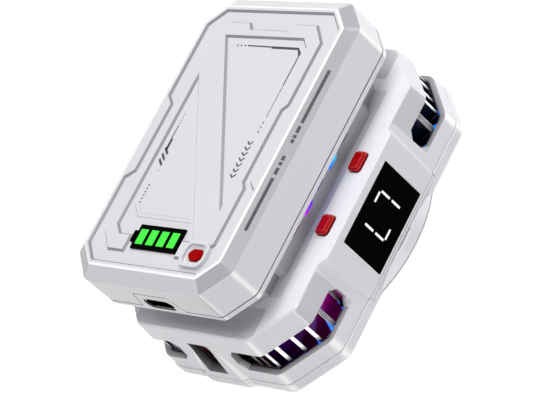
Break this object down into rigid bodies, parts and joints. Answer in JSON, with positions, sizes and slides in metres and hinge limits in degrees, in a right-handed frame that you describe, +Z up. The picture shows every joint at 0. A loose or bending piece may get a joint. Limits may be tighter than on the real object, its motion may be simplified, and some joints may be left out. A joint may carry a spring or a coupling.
{
  "type": "phone cooler",
  "caption": "Clip-on phone cooler with a fan, finned heatsink, small numeric readout and a battery pack docked on top, in white plastic.",
  "frame": {"origin": "middle of the flat face that touches the phone, at the bottom", "axes": "+Z up, away from the phone, +X along the long side, the readout faces -Y and the power inlet faces -X"},
  "size_m": [0.0788, 0.0626, 0.0385],
  "materials": {
    "pack_white": "glossy white moulded plastic with printed grey line marks",
    "housing_white": "glossy white moulded plastic",
    "dock_white": "glossy white moulded plastic",
    "red_button": "satin red plastic",
    "bezel": "glossy white plastic ring",
    "black_window": "gloss black smoked window",
    "lit_digit": "lit readout bar",
    "dark_digit": "unlit readout bar",
    "lit_bar": "lit green gauge bar",
    "sink_metal": "black anodised aluminium, bare at the cut fin ends",
    "plate_metal": "fine brushed aluminium",
    "steel": "plain steel",
    "magnet": "nickel plated",
    "fan_black": "matt black plastic",
    "winding": "enamelled copper winding",
    "bearing_brass": "sintered bronze",
    "board_black": "dark solder mask",
    "switch_grey": "matt dark grey plastic",
    "silicone": "soft matt silicone",
    "ceramic": "white ceramic faces",
    "foam": "closed-cell foam",
    "battery_wrap": "silver foil pouch",
    "diffuser": "milky light guide",
    "led": "clear lens",
    "gold": "gold plated"
  },
  "bodies": {
    "cooler": {"upper_housing": "housing_white", "base_shell": "housing_white", "cold_plate": "plate_metal", "base_pad": "silicone", "magnet_segments": "magnet", "peltier_module": "ceramic", "insulation_ring": "foam", "heatsink": "sink_metal", "housing_screws": "steel", "fan_frame": "fan_black", "fan_screws": "steel", "fan_stator": "winding", "fan_bearing": "bearing_brass", "display_window": "black_window", "digit_segments_lit": "lit_digit", "digit_segments_dark": "dark_digit", "display_module": "switch_grey", "deck_switches": "switch_grey", "main_board": "board_black", "usb_c_inlet": "steel", "inlet_board": "board_black", "dock": "dock_white", "dock_screws": "steel", "dock_magnets": "magnet", "contact_board": "board_black", "dock_contacts": "gold", "light_guide_front": "diffuser", "light_guide_rear": "diffuser", "rgb_leds": "led"},
    "fan": {"fan_shaft": "steel", "fan_rotor": "fan_black", "rotor_magnet": "magnet"},
    "pack": {"pack_base": "pack_white", "pack_cover": "pack_white", "pack_contacts": "gold", "pack_magnets": "magnet", "pack_screws": "steel", "battery_cell": "battery_wrap", "battery_foam": "foam", "pack_board": "board_black", "pack_usb_c": "steel", "gauge_window": "black_window", "gauge_bars": "lit_bar", "gauge_leds": "led", "button_bezel": "bezel", "pack_switch": "switch_grey"},
    "mode_button": {"deck_button_left": "red_button"},
    "level_button": {"deck_button_right": "red_button"},
    "pack_key": {"pack_button": "red_button"}
  },
  "joints": [
    {"name": "fan_spin", "type": "hinge", "parent": "cooler", "child": "fan", "pos_m": [0, 0, 0.008], "axis": [0, 0, 1], "continuous": true},
    {"name": "pack_lift", "type": "slide", "parent": "cooler", "child": "pack", "axis": [0, 0, 1], "range_m": [0, 0.03]},
    {"name": "mode_press", "type": "slide", "parent": "cooler", "child": "mode_button", "axis": [0, 0, -1], "range_m": [0, 0.0005], "stiffness_N_per_m": 400, "springref_m": -0.0005},
    {"name": "level_press", "type": "slide", "parent": "cooler", "child": "level_button", "axis": [0, 0, -1], "range_m": [0, 0.0005], "stiffness_N_per_m": 400, "springref_m": -0.0005},
    {"name": "pack_press", "type": "slide", "parent": "pack", "child": "pack_key", "axis": [0, 0, -1], "range_m": [0, 0.0005], "stiffness_N_per_m": 400, "springref_m": -0.0005}
  ]
}
